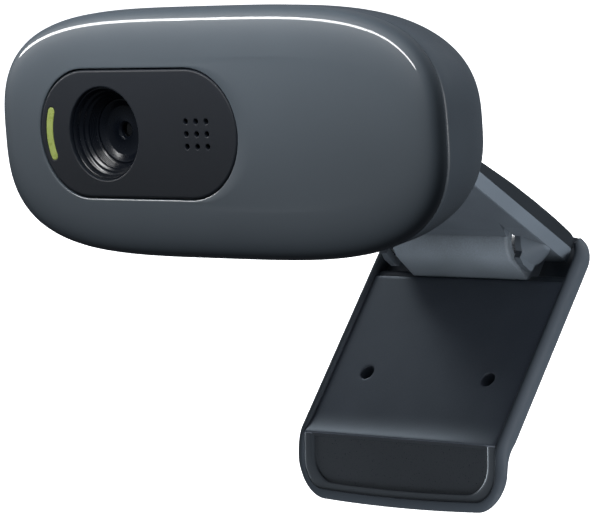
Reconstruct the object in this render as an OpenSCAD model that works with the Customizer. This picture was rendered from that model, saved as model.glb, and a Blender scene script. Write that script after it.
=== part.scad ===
// Clip-on webcam: a camera head that tilts on an arm plate, and a leg plate that
// folds under the arm, so that the two plates grip the top edge of a screen.
// +X is the head's right as the camera is faced, -Y is where it looks, +Z is up.
// The origin is the middle of the arm's underside, which rests on the screen's top.

/* [Head] */
// Width of the head
head_w = 72.9; // [70:0.1:76]
// Height of the head
head_h = 31.9; // [31:0.1:34]
// Depth of the head, front face to back
head_d = 17; // [16.8:0.1:18]
// Depth of the front cover, from its face to the seam
seam_y = 2.5; // [2.4:0.1:2.8]
// Wall of the front cover and rear shell
wall = 1.4; // [1.2:0.1:1.5]

/* [Face] */
// Centre of the camera lens, across the face
lens_x = -17.6; // [-18:0.1:-17]
// Radius of the lens opening in the bezel
lens_r = 6; // [5.8:0.1:6.1]
// Centre of the bezel, across the face
bezel_x = -11.8; // [-12:0.1:-11.6]
// Half height of the bezel, the radius of its round ends
bezel_r = 8.4; // [8.2:0.1:8.6]
// Distance between the centres of the bezel's round ends
bezel_run = 17.6; // [17.4:0.1:18]
// Centre of the microphone holes, across the face
mic_x = -1.5; // [-2:0.1:-1]

/* [Arm] */
// Slope of the arm below level, towards the back
arm_slope = 33.75; // [30:0.25:36]
// Half width of the arm
arm_half = 16; // [15.8:0.1:16]
// Thickness of the arm at the clip hinge
arm_t = 3.2; // [3.1:0.1:3.3]
// Distance along the arm from the origin to the clip hinge
clip_y = 15; // [14.8:0.1:15.2]
// Distance along the arm from the origin to the tilt hinge
tilt_y = -23; // [-23.5:0.1:-22.8]

/* [Leg] */
// Slope of the leg below level, towards the front
leg_slope = 48.2; // [46:0.1:50]
// Half width of the leg
leg_half = 17.8; // [17.8:0.1:18.2]
// Distance from the clip hinge to the leg's tip
leg_reach = 37.6; // [37:0.1:39]
// Angle by which the tip bends away from the screen
tip_bend = 37; // [30:1:40]

/* [Hinges] */
// Radius of both hinge pins
pin_r = 1.25; // [1.2:0.05:1.3]
// Radial running clearance round a pin
run_gap = 0.05; // [0.02:0.01:0.08]
// Radius of the leg's hinge knuckle
knuckle_r = 4; // [3.9:0.1:4.1]

/* [Hidden] */
$fn = 64;
eps = 0.01;

// Head, in its own frame: origin in the middle of the face, +Y towards the back
tilt_depth = 20.1;   // the tilt hinge's place behind the face
tilt_rise = 1.35;    // and above the head's middle
tilt_z = 1.4;        // height of the tilt hinge over the arm's underside
clip_z = 1.1;        // height of the clip hinge over the arm's underside
head_y = tilt_y * cos(arm_slope) + tilt_z * sin(arm_slope) - tilt_depth;
head_z = -tilt_y * sin(arm_slope) + tilt_z * cos(arm_slope) - tilt_rise;
outline_steps = 56;  // points round the head's outline
outline_px = 3.8;    // squareness of the outline towards its ends
outline_pz = 2.95;   // squareness towards its top and bottom
edge_x = 4.3;        // how far the face's rounded edge reaches in from the ends
edge_z = 6.5;        // and from the top and bottom
edge_power = 3.8;    // squareness of that rounded edge
reveal = 0.2;        // width and depth of the groove at the seam
back_x = 10.5;       // how far the rear shell closes in at the ends
back_z = 13.2;       // and at the top and bottom
back_power = 2.3;    // squareness of that closing curve
tongue_t = 1;        // tongue of the rear shell inside the front cover
bezel_y = 0.25;      // the bezel's face lies this far behind the cover's face
bezel_back = 2.3;
flange = 1;          // the bezel's flange behind the cover
fit = 0.05;          // gap between parts that sit in one another
mic_pitch = [1.73, 1.6];
mic_hole_r = 0.35;
led_arc_r = 8;       // radius of the lamp's curved window
led_arc_x = -19.3;   // and its centre
led_half_angle = 21;
led_t = 1.1;         // width of the lamp's window
board_y = 12;       // the board's front face
board_t = 1;
board_r = 8;
board_ends = [-21, 17];
screw_sites = [[-25.2, 4.6], [-25.2, -4.6], [14, 5.8]];
bracket_sites = [-4.5, 4.5];
base_y = 14.75;      // back of the bracket's base plate
base_t = 0.95;
gland_at = [21.5, -3];
gland_bore = 1.9;
gland_end = 19.6;
lug_x = [7.5, 10.2];   // inner and outer faces of the tilt lugs
lug_r = 3;
barrel_half = 6.8;   // the arm's half width inside the lugs
barrel_r = 2.7;

// Arm, in its own frame: origin on its underside, +Y down the slope, +Z out of its top
arm_split = 1.3;     // height of the joint between plate and cover
arm_chamfer = 1.35;
arm_end = 20;        // rear edge
arm_front = -16.5;   // front edge, where the neck begins
rear_round = 3;      // radii of the rear and front corners
front_round = 8;
notch_half = 11;     // half width of the notch for the knuckle
notch_y = 10.65;     // front edge of the notch
ear_lug_t = 1;       // width and radius of the lugs under the ears
ear_lug_r = 3.4;
ear_cone_t = 2.6;    // length of the cone that joins them to the underside
pad_half = 14.2;
pad_y = [-14, 9];
pad_t = 0.5;
arm_screw_y = -9;
arm_screw_x = 9;
clip_pin_half = 13.8;
tilt_pin_half = 9.9;

// Leg, in its own frame: origin on the clip hinge, +Y up the leg, +Z out of its
// inner face, which grips the back of the screen
rim_z = -3.32;       // top of the rim
floor_z = -3.92;     // face of the inner panel
back_z0 = -6;        // back of the leg
wall_z = -5.7;       // face of the thin wall behind the arm's end
hood_z = -6.5;       // back of that wall
leg_top = 4.2;       // upper edge
floor_top = -4.22;   // the panel's upper edge
ridge_y = -30.5;     // where the tip bends
panel_half = 16.4;
panel_t = 0.9;
channel_half = 16.35;
corner_top = 5;
corner_tip = 4.6;
knuckle_half = 10.05;
bump_half = 17.5;    // half width of the ridge across the leg's back
hole_x = 10.4;
hole_y = -20;
hole_r = 1.05;
tip_t = 1.7;         // thickness near the tip

function sgn_pow(v, p) = sign(v) * pow(abs(v), p);
function outline(a, b) = [for (i = [0 : outline_steps - 1])
    let (t = 360 * i / outline_steps)
    [a * sgn_pow(cos(t), 2 / outline_px), b * sgn_pow(sin(t), 2 / outline_pz)]];
function ring(inset_x, inset_z, y) =
    [for (p = outline(head_w / 2 - inset_x, head_h / 2 - inset_z)) [p[0], y, p[1]]];

// Rings of the front cover's outside, from the face to the seam
function face_rings(t0) = [for (t = t0)
    let (k = 1 - pow(sin(t), 2 / edge_power), u = 1 - pow(cos(t), 2 / edge_power))
    ring(edge_x * k, edge_z * k, seam_y * u)];
// Rings of the rear shell, from the seam to the back, set in by d
function back_rings(t0, d) = [for (t = t0)
    let (k = 1 - pow(cos(t), 2 / back_power), u = pow(sin(t), 2 / back_power),
         y0 = seam_y + reveal)
    ring(reveal + d + back_x * k, reveal + d + back_z * k,
         y0 + (head_d - y0 - d) * u)];

// A closed solid through a list of rings of equal size
module loft(rings) {
    n = len(rings[0]);
    m = len(rings);
    points = [for (r = rings) each r];
    sides = [for (j = [0 : m - 2], i = [0 : n - 1])
        let (i1 = (i + 1) % n)
        [j * n + i, j * n + i1, (j + 1) * n + i1, (j + 1) * n + i]];
    caps = [[for (i = [n - 1 : -1 : 0]) i], [for (i = [0 : n - 1]) (m - 1) * n + i]];
    polyhedron(points, concat(sides, caps), convexity = 6);
}

module in_head() { translate([0, head_y, head_z]) children(); }
module in_arm() { rotate([-arm_slope, 0, 0]) children(); }
module in_leg() {
    in_arm() translate([0, clip_y, clip_z]) rotate([arm_slope + leg_slope, 0, 0]) children();
}

// A round rod along +Y of the head, from y0 to y1
module rod(r, y0, y1, x = 0, z = 0) {
    translate([x, y0, z]) rotate([-90, 0, 0]) cylinder(r = r, h = y1 - y0);
}
// A round rod along X, from x0 to x1, at (y, z)
module cross_rod(r, x0, x1, y = 0, z = 0) {
    translate([x0, y, z]) rotate([0, 90, 0]) cylinder(r = r, h = x1 - x0);
}
module block(low, high) { translate(low) cube(high - low); }
// A slot shape along X with round ends, from y0 to y1
module slot(r, run, y0, y1, x) {
    for (s = [-1, 1]) rod(r, y0, y1, x + s * run / 2);
    block([x - run / 2, y0, -r], [x + run / 2, y1, r]);
}
module profile_x(points, half) {
    rotate([90, 0, 90]) translate([0, 0, -half]) linear_extrude(2 * half) polygon(points);
}
module mirror_pair() { for (s = [0, 1]) mirror([s, 0, 0]) children(); }
// Plan outline with a radius at the low end and another at the high end
module plan(half, y0, y1, r0, r1, z0, z1) {
    translate([0, 0, z0]) linear_extrude(z1 - z0) union() {
        for (s = [-1, 1]) {
            translate([s * (half - r0), y0 + r0]) circle(r0);
            translate([s * (half - r1), y1 - r1]) circle(r1);
        }
        translate([-half, y0 + r0]) square([2 * half, y1 - y0 - r0 - r1]);
        translate([r0 - half, y0]) square([2 * (half - r0), y1 - y0 - r1]);
        translate([r1 - half, y0 + r0]) square([2 * (half - r1), y1 - y0 - r0]);
    }
}

module front_cover() {
    color("slategray") in_head() difference() {
        loft(face_rings([1, 10, 25, 45, 65, 80, 90]));
        loft([ring(wall + 1.2, wall + 1.2, wall), ring(wall + 0.2, wall + 0.2, wall + 0.4),
              ring(wall + 0.2, wall + 0.2, seam_y + 1)]);
        slot(bezel_r, bezel_run, -1, seam_y + 1, bezel_x);
    }
}

module rear_shell() {
    gap = wall + 0.2 + fit;
    color("dimgray") in_head() difference() {
        union() {
            difference() {
                loft(back_rings([0, 12, 25, 40, 55, 70, 82, 90], 0));
                loft(concat([ring(reveal + wall, reveal + wall, seam_y)],
                    back_rings([12, 30, 50, 70, 90], wall)));
            }
            difference() {
                loft([ring(gap, gap, seam_y - 0.5), ring(gap, gap, seam_y + reveal),
                      ring(wall / 2, wall / 2, seam_y + reveal + 0.3),
                      ring(wall / 2, wall / 2, seam_y + 1.5)]);
                loft([ring(gap + tongue_t, gap + tongue_t, seam_y - 1),
                      ring(gap + tongue_t, gap + tongue_t, seam_y + 2)]);
            }
            intersection() {
                union() {
                    for (p = screw_sites) rod(1.9, board_y + board_t, head_d, p[0], p[1]);
                    for (x = bracket_sites) rod(1.6, base_y, head_d, x, tilt_rise);
                }
                loft(back_rings([12, 30, 50, 70, 90], wall / 2));
            }
        }
        for (p = screw_sites) rod(0.8, board_y, head_d - 1, p[0], p[1]);
        for (x = bracket_sites) rod(0.7, board_y, head_d - 0.4, x, tilt_rise);
        mirror_pair() block([lug_x[0] - fit, head_d - 3, tilt_rise - lug_r - fit],
            [lug_x[1] + fit, head_d + 1, tilt_rise + lug_r + fit]);
        rod(3 + fit, head_d - 5, head_d + 2, gland_at[0], gland_at[1]);
    }
}

module led_window(t, y0, y1) {
    at = [led_arc_x, y0, 0];
    for (s = [-1, 1])
        rod(t / 2, y0, y1, led_arc_x - led_arc_r * cos(led_half_angle),
            s * led_arc_r * sin(led_half_angle));
    translate(at) rotate([-90, 0, 0]) rotate([0, 0, 180 - led_half_angle])
        rotate_extrude(angle = 2 * led_half_angle)
            translate([led_arc_r - t / 2, 0]) square([t, y1 - y0]);
}

module face_bezel() {
    color("#2b2e31") in_head() difference() {
        union() {
            slot(bezel_r - fit, bezel_run, bezel_y, bezel_back, bezel_x);
            slot(bezel_r + flange, bezel_run, wall + fit, bezel_back, bezel_x);
        }
        rod(lens_r, -1, bezel_back + 1, lens_x);
        led_window(led_t + 2 * fit, -1, bezel_back + 1);
        for (i = [-1 : 1], j = [-1 : 1])
            rod(mic_hole_r, -1, bezel_back + 1, mic_x + i * mic_pitch[0], j * mic_pitch[1]);
    }
}

module lens_hood() {
    color("#15171a") in_head() translate([lens_x, 0, 0]) rotate([-90, 0, 0])
        rotate_extrude() polygon([[lens_r - fit, 0.35], [5.6, 0.35], [5.36, 0.7],
            [5.36, 1.3], [4.92, 1.6], [4.92, 2.5], [4.5, 2.8], [4.5, 3.6],
            [5.1, 3.6], [lens_r - fit, 2.6]]);
}

module lens_barrel() {
    color("#1b1d20") in_head() translate([lens_x, 0, 0]) rotate([-90, 0, 0])
        rotate_extrude() polygon([[4.3, 3.9], [4.1, 3.7], [3.7, 3.7], [3.5, 4], [1.3, 4.2],
            [0.85, 4.6], [0.85, 5], [2.6, 5], [2.6, 10], [4.3, 10]]);
}

module lens_elements() {
    color("lightsteelblue", 0.6) in_head() {
        rod(2.55, 5.05, 5.9, lens_x);
        rod(2.55, 6.4, 7.2, lens_x);
        rod(2.55, 8, 9.4, lens_x);
    }
}

module lens_holder() {
    color("#222426") in_head() difference() {
        union() {
            rod(5.4, 6.8, 9.6, lens_x);
            block([lens_x - 5.7, 9, -5.7], [lens_x + 5.7, board_y, 5.7]);
        }
        rod(4.3 + fit, 6, 10.1, lens_x);
        block([lens_x - 4.2, 10, -4.2], [lens_x + 4.2, board_y + 1, 4.2]);
    }
}

module ir_filter() {
    color("#c04060", 0.5) in_head() block([lens_x - 4.1, 10.2, -4.1], [lens_x + 4.1, 10.6, 4.1]);
}

module image_sensor() {
    color("#3a3f46") in_head()
        block([lens_x - 3.6, board_y - 1, -3.6], [lens_x + 3.6, board_y, 3.6]);
}

module main_board() {
    color("#1f5a35") in_head() difference() {
        slot(board_r, board_ends[1] - board_ends[0], board_y, board_y + board_t,
            (board_ends[0] + board_ends[1]) / 2);
        for (p = screw_sites) rod(0.9, board_y - 1, board_y + 2, p[0], p[1]);
    }
}

module usb_controller() {
    color("#202225") in_head() block([2, board_y - 0.9, -3.5], [9, board_y, 3.5]);
}
module flash_memory() {
    color("#202225") in_head() block([12, board_y - 1.2, -4], [17, board_y, 0]);
}
module crystal() {
    color("silver") in_head() block([-7, board_y - 0.8, 3], [-3.8, board_y, 5.5]);
}

module board_screws() {
    color("silver") in_head() for (p = screw_sites) {
        rod(1.6, board_y - 0.9, board_y, p[0], p[1]);
        rod(0.8 - fit, board_y - eps, head_d - 1.6, p[0], p[1]);
    }
}

module led_light_pipe() { color("#a8c04a") in_head() led_window(led_t, 0.2, board_y - 1.1); }
module status_led() {
    x = led_arc_x - led_arc_r;
    color("#e8ecd0") in_head() block([x - 0.5, board_y - 0.8, -0.8], [x + 0.5, board_y, 0.8]);
}

module microphone() { color("silver") in_head() rod(2.5, 2.6, 4.9, mic_x); }
module microphone_boot() {
    color("#17181a") in_head() difference() {
        rod(3.6, bezel_back, 5.1, mic_x);
        rod(2.5 + fit, bezel_back - 1, 6, mic_x);
    }
}
module microphone_leads() {
    color("silver") in_head() for (s = [-1, 1]) rod(0.25, 4.9, board_y, mic_x + s * 1.2);
}

module cable_header() {
    color("ivory") in_head()
        block([13, board_y + board_t, -6], [17.5, board_y + board_t + 1.6, 1]);
}

module cable_gland() {
    color("#17181a") in_head() difference() {
        union() {
            rod(3, head_d - 3, head_d + 0.6, gland_at[0], gland_at[1]);
            rod(2.7, head_d, gland_end, gland_at[0], gland_at[1]);
        }
        rod(gland_bore, 0, gland_end + 1, gland_at[0], gland_at[1]);
    }
}

module tilt_bracket() {
    color("#33363b") in_head() difference() {
        union() {
            block([-11, base_y - base_t, tilt_rise - 4], [11, base_y, tilt_rise + 4]);
            mirror_pair() {
                cross_rod(lug_r, lug_x[0], lug_x[1], tilt_depth, tilt_rise);
                block([lug_x[0], base_y - 0.5, tilt_rise - lug_r],
                    [lug_x[1], tilt_depth, tilt_rise + lug_r]);
            }
        }
        cross_rod(pin_r + run_gap, -12, 12, tilt_depth, tilt_rise);
        for (x = bracket_sites) rod(0.8, 10, 20, x, tilt_rise);
    }
}

module bracket_screws() {
    y = base_y - base_t;
    color("silver") in_head() for (x = bracket_sites) {
        rod(1.5, y - 0.5, y, x, tilt_rise);
        rod(0.65, y - eps, head_d - 0.8, x, tilt_rise);
    }
}

// The arm's whole outer form, which the plate and the cover share
module arm_form() {
    difference() {
        union() {
            intersection() {
                plan(arm_half, arm_front, arm_end, front_round, rear_round, -1, 5);
                profile_x([[arm_front, 0], [arm_end - 0.4, 0], [arm_end, 0.5], [arm_end, 1.5],
                    [arm_end - 0.5, 2.2], [arm_end - 1.4, arm_t - 0.5], [clip_y + 1.5, arm_t - 0.1],
                    [clip_y - 2, arm_t + 0.1], [clip_y - 7, arm_t + 0.1], [clip_y - 13, arm_t - 0.1],
                    [clip_y - 21, arm_t - 0.7], [arm_front, arm_t - 1]], arm_half);
                rotate([-90, 0, 0]) translate([0, 0, -40]) linear_extrude(80)
                    polygon([[arm_chamfer - arm_half, 0], [-arm_half, -arm_chamfer],
                        [-arm_half, -3], [0.6 - arm_half, -5], [arm_half - 0.6, -5],
                        [arm_half, -3], [arm_half, -arm_chamfer], [arm_half - arm_chamfer, 0]]);
            }
            cross_rod(barrel_r, -barrel_half, barrel_half, tilt_y, tilt_z);
            block([-barrel_half, tilt_y + 1.6, 0], [barrel_half, arm_front + 2, 2.3]);
        }
        block([-notch_half, notch_y, -5], [notch_half, arm_end + 1, 6]);
        cross_rod(pin_r, -tilt_pin_half - 1, tilt_pin_half + 1, tilt_y, tilt_z);
        cross_rod(pin_r, -clip_pin_half, clip_pin_half, clip_y, clip_z);
    }
}
module above_split() { block([-30, arm_front + 1.5, arm_split], [30, 30, 8]); }

// The lug under each ear: a disc and a cone about the clip hinge, with a stop nib
module ear_lug() {
    nib = [[-2, -2.4], [-2, -3.7], [-0.9, -4.2], [0.9, -4.3], [1.3, -4.1], [1.6, -2.6]];
    difference() {
        union() {
            cross_rod(ear_lug_r, notch_half, notch_half + ear_lug_t, clip_y, clip_z);
            translate([notch_half + ear_lug_t, clip_y, clip_z]) rotate([0, 90, 0])
                cylinder(r1 = ear_lug_r, r2 = clip_z, h = ear_cone_t);
            translate([notch_half + 0.5, clip_y, clip_z]) profile_x(nib, 0.5);
        }
        block([0, 0, arm_split], [20, 30, 8]);
        cross_rod(pin_r, 0, clip_pin_half, clip_y, clip_z);
    }
}

module arm_plate() {
    color("#4b5258") in_arm() difference() {
        union() {
            difference() {
                arm_form();
                above_split();
            }
            mirror_pair() {
                ear_lug();
                translate([arm_screw_x, arm_screw_y, 0.6]) cylinder(r = 2, h = 0.9);
            }
            profile_x([[notch_y - 3.2, 0.1], [notch_y - 0.4, -0.85], [notch_y - 0.1, -0.7],
                [notch_y - 0.1, 0.2], [notch_y - 3.2, 0.2]], notch_half);
        }
        plan(pad_half, pad_y[0], pad_y[1], 6, 0.5, -1, pad_t);
        mirror_pair() translate([arm_screw_x, arm_screw_y, -1]) {
            cylinder(r = 1.5, h = 1 + pad_t + 0.5);
            cylinder(r = 0.75, h = 6);
        }
    }
}

module arm_cover() {
    color("#3c4046") in_arm() difference() {
        intersection() {
            arm_form();
            above_split();
        }
        difference() {
            block([-arm_half + 1.8, arm_front + 4, arm_split - 1],
                [arm_half - 1.8, notch_y - 1.6, arm_t - 1.4]);
            mirror_pair() translate([arm_screw_x, arm_screw_y, 1.5]) cylinder(r = 2, h = 4);
        }
        mirror_pair() translate([arm_screw_x, arm_screw_y, 0]) {
            cylinder(r = 2 + fit, h = 1.5);
            cylinder(r = 0.7, h = 2.2);
        }
    }
}

module arm_grip_pad() {
    color("#40454b") in_arm() plan(pad_half - fit, pad_y[0] + fit, pad_y[1] - fit, 6, 0.45, 0, pad_t);
}

module arm_screws() {
    color("silver") in_arm() mirror_pair() translate([arm_screw_x, arm_screw_y, 0]) {
        translate([0, 0, pad_t]) cylinder(r = 1.45, h = 0.5);
        translate([0, 0, pad_t + 0.4]) cylinder(r = 0.7, h = 1.2);
    }
}

module tilt_pin() {
    color("silver") in_arm() cross_rod(pin_r, -tilt_pin_half, tilt_pin_half, tilt_y, tilt_z);
}
module clip_pin() {
    color("silver") in_arm() cross_rod(pin_r, -clip_pin_half, clip_pin_half, clip_y, clip_z);
}
// Two spring washers on a pin, that rest against faces at x0 and reach to x1
module washers(x0, x1, r, y, z) {
    color("silver") in_arm() mirror_pair() difference() {
        cross_rod(r, x0, x1, y, z);
        cross_rod(pin_r, 0, x1 + 1, y, z);
    }
}
module tilt_washers() { washers(barrel_half, barrel_half + 0.4, 2.4, tilt_y, tilt_z); }
module clip_washers() { washers(notch_half - 0.65, notch_half, 3.2, clip_y, clip_z); }

// Side outline of the leg: level behind the screen, then bent back at the ridge
module leg_profile(z1, z0) {
    run = leg_reach + ridge_y;
    drop = run * tan(tip_bend);
    profile_x([[leg_top, z0], [leg_top, z1], [ridge_y, z1], [-leg_reach, z1 - drop],
        [-leg_reach + 0.8, z1 - drop - tip_t], [ridge_y + 0.6, z0]], leg_half);
}

module leg_form() {
    intersection() {
        leg_profile(rim_z, back_z0);
        plan(leg_half, -leg_reach, leg_top, corner_tip, corner_top, -14, 0);
    }
}

// The D-shaped recess on the bent tip, from depth z0 up
module tip_recess(half, z0) {
    translate([0, ridge_y, rim_z]) rotate([tip_bend, 0, 0])
        plan(half, -6.6, 0, 3.2, 0.1, z0, 3);
}

module leg_shell() {
    color("#3c4248") in_leg() difference() {
        union() {
            difference() {
                union() {
                    leg_form();
                    plan(channel_half - 0.4, floor_top + 0.5, leg_top - 0.3, 0.5, 4, hood_z, -5);
                    cross_rod(1.2, -bump_half, bump_half, floor_top + 0.4, back_z0 + 0.55);
                }
                plan(channel_half, floor_top, leg_top, 0.05, 3.5, wall_z, 1);
                block([-channel_half + 3.5, 0, wall_z], [channel_half - 3.5, leg_top + 1, 1]);
                block([-panel_half - fit, ridge_y + 0.9, floor_z - panel_t],
                    [panel_half + fit, floor_top + 1, 1]);
                tip_recess(15, -0.7);
            }
            cross_rod(knuckle_r, -knuckle_half, knuckle_half);
            block([-knuckle_half, floor_top + 0.2, wall_z - 0.2], [knuckle_half, 3.4, 0]);
            mirror_pair() translate([hole_x, hole_y, floor_z - panel_t - 0.2])
                cylinder(r = 0.9, h = 0.5);
        }
        cross_rod(pin_r + run_gap, -knuckle_half - 1, knuckle_half + 1);
    }
}

module leg_panel() {
    top = floor_z + 0.35;
    color("#363a42") in_leg() difference() {
        profile_x([[floor_top, floor_z - panel_t], [floor_top, floor_z], [ridge_y + 4, floor_z],
            [ridge_y + 2, top - 0.1], [ridge_y + 1.2, top], [ridge_y + 0.9 + fit, top - 0.15],
            [ridge_y + 0.9 + fit, floor_z - panel_t]], panel_half);
        mirror_pair() translate([hole_x, hole_y, -8]) cylinder(r = hole_r, h = 8);
    }
}

module tip_grip_pad() {
    color("#25292e") in_leg() translate([0, ridge_y, rim_z]) rotate([tip_bend, 0, 0])
        plan(15 - fit, fit - 6.6, -fit, 3.2, 0.1, -0.7, -0.3);
}

front_cover();
rear_shell();
face_bezel();
lens_hood();
lens_barrel();
lens_elements();
lens_holder();
ir_filter();
image_sensor();
main_board();
usb_controller();
flash_memory();
crystal();
board_screws();
led_light_pipe();
status_led();
microphone();
microphone_boot();
microphone_leads();
cable_header();
cable_gland();
tilt_bracket();
bracket_screws();
arm_plate();
arm_cover();
arm_grip_pad();
arm_screws();
tilt_pin();
tilt_washers();
clip_pin();
clip_washers();
leg_shell();
leg_panel();
tip_grip_pad();
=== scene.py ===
import math

import bmesh
import bpy
from mathutils import Matrix, Vector
from mathutils.geometry import delaunay_2d_cdt


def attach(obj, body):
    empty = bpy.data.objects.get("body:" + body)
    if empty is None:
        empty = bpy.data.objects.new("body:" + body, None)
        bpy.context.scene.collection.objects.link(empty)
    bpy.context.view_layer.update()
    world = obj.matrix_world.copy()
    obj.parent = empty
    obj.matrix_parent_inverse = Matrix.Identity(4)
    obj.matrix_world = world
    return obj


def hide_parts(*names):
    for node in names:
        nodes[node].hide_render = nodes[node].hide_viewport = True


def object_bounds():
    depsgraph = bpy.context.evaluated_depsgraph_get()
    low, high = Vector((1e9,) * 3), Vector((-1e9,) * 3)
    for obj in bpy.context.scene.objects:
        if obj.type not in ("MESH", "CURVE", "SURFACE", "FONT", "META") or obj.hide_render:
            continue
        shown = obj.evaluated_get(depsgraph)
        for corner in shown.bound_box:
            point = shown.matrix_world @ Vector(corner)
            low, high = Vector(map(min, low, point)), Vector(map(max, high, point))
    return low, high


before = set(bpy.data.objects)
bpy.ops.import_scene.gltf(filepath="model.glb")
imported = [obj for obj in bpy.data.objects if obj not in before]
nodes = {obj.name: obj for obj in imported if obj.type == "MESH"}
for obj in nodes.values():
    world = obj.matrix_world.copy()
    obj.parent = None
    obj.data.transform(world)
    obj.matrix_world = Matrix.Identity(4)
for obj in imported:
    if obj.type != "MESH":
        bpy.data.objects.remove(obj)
cad_box = [list(map(float, corner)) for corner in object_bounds()]
scene = bpy.context.scene

MM = 0.001
TAU = 2 * math.pi


# ---------------------------------------------------------------- frames and sizes, in millimetres

def turn_x(degrees):
    return Matrix.Rotation(math.radians(degrees), 4, "X")


def shift(x, y, z):
    return Matrix.Translation((x, y, z))


# Degrees below the horizontal in the photograph's pose
ARM_SLOPE, LEG_SLOPE = 33.75, 48.2
# The frames of the three bodies in that pose
HEAD = shift(0, -38.4455, 12.592)
ARM = turn_x(-ARM_SLOPE)
LEG = ARM @ shift(0, 15, 1.1) @ turn_x(ARM_SLOPE + LEG_SLOPE)
TO_METRES = Matrix.Scale(MM, 4)

# Head, in its own frame: +X to the right, +Y into the head from the face, +Z up
HALF_W, HALF_H, DEPTH = 36.449, 15.95, 17.0
OUTLINE_POWER = {"x": 3.8, "z": 2.95}
OUTLINE_POINTS = 240
SEAM = 2.5                # depth of the line between the cover and the shell
LINING = 1.6              # how far the hidden edges at the seam lie inside the outline
FACE_DOME = 0.3           # how far the face falls back at its left and right ends
# The cover's fillet and the shell's rounded back: how far each comes in along x and z
FILLET = {"x": 4.3, "z": 8.0, "depth": 2.36, "power": 3.9}
SHELL = {"start": SEAM + 0.5, "x": 10.5, "z": 13.2, "set_in": 0.2, "power": 2.3}
# The pill-shaped insert, and the openings in it
BEZEL = {"x": -11.8, "r": 8.4, "run": 17.6, "face": 0.16}
LENS = {"x": -17.6, "r": 6.0}
LAMP = {"x": -19.3, "r": 8.0, "spread": 21, "width": 1.2}
MIC = {"x": -1.5, "pitch_x": 1.73, "pitch_z": 1.6, "r": 0.35}

# Arm, in its own frame: +Y towards the clip hinge, the underside at z = 0
PAD = {"half": 14.3, "front": -14.1, "back": 9.25, "r": 6.1, "top": 0.45, "proud": 0.012}
LIP = {"half": 11.0, "start": 7.745, "slope": 0.34}

# Leg, in its own frame: origin on the clip hinge, +Y up the leg, +Z out of its open face
LEG_HALF, TIP_Y, TOP_Y = 17.8, -37.6, 4.2
TIP_R, TOP_R, LEAST_R = 4.6, 5.0, 0.6       # corner radii
RIM_Z, FLOOR_Z, BACK_Z = -3.32, -3.85, -6.0
RIDGE_Y, FLOOR_TOP = -30.5, -4.22
TIP_SLOPE = math.tan(math.radians(37))
TIP_T = 1.25              # thickness at the tip, along z
TAPER_START, TAPER_RUN = RIDGE_Y + 2, 8
BEND_HALF = 1.5           # half length of the round stretch at the bend
BOW = {"start": -31, "run": 4, "rise": 0.5}        # the curve of the tip's end
CUT = {"half": 16.0, "low": 1.6, "deep": 2.3}      # the opening for the arm's end
PANEL = {"half": 16.37, "swell_y": -26.2, "swell_run": 3.9, "swell": 0.50, "end": -30.38}
HOLE = {"x": 10.4, "y": -20.0, "r": 1.05, "pitch": 0.4, "cells": 12}
KNUCKLE = {"half": 10.05, "r": 4.0, "front": 3.4, "foot": -5.9}
BACK_RIDGE = {"y": -3.82, "z": -5.45, "half": 17.3, "r": 1.2}


# ---------------------------------------------------------------- materials

def new_material(name):
    """A material with its nodes and links."""
    mat = bpy.data.materials.new(name)
    mat.use_nodes = True
    return mat, mat.node_tree.nodes, mat.node_tree.links


def noise(nds, lks, coord, scale, detail=3.0):
    tex = nds.new("ShaderNodeTexNoise")
    tex.inputs["Scale"].default_value = scale
    tex.inputs["Detail"].default_value = detail
    tex.inputs["Roughness"].default_value = 0.6
    lks.new(coord, tex.inputs["Vector"])
    return tex


def ramp(nds, lks, value, low, high, out_low, out_high):
    """Maps low..high onto out_low..out_high."""
    node = nds.new("ShaderNodeMapRange")
    node.inputs["From Min"].default_value = low
    node.inputs["From Max"].default_value = high
    node.inputs["To Min"].default_value = out_low
    node.inputs["To Max"].default_value = out_high
    lks.new(value, node.inputs["Value"])
    return node.outputs["Result"]


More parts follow.
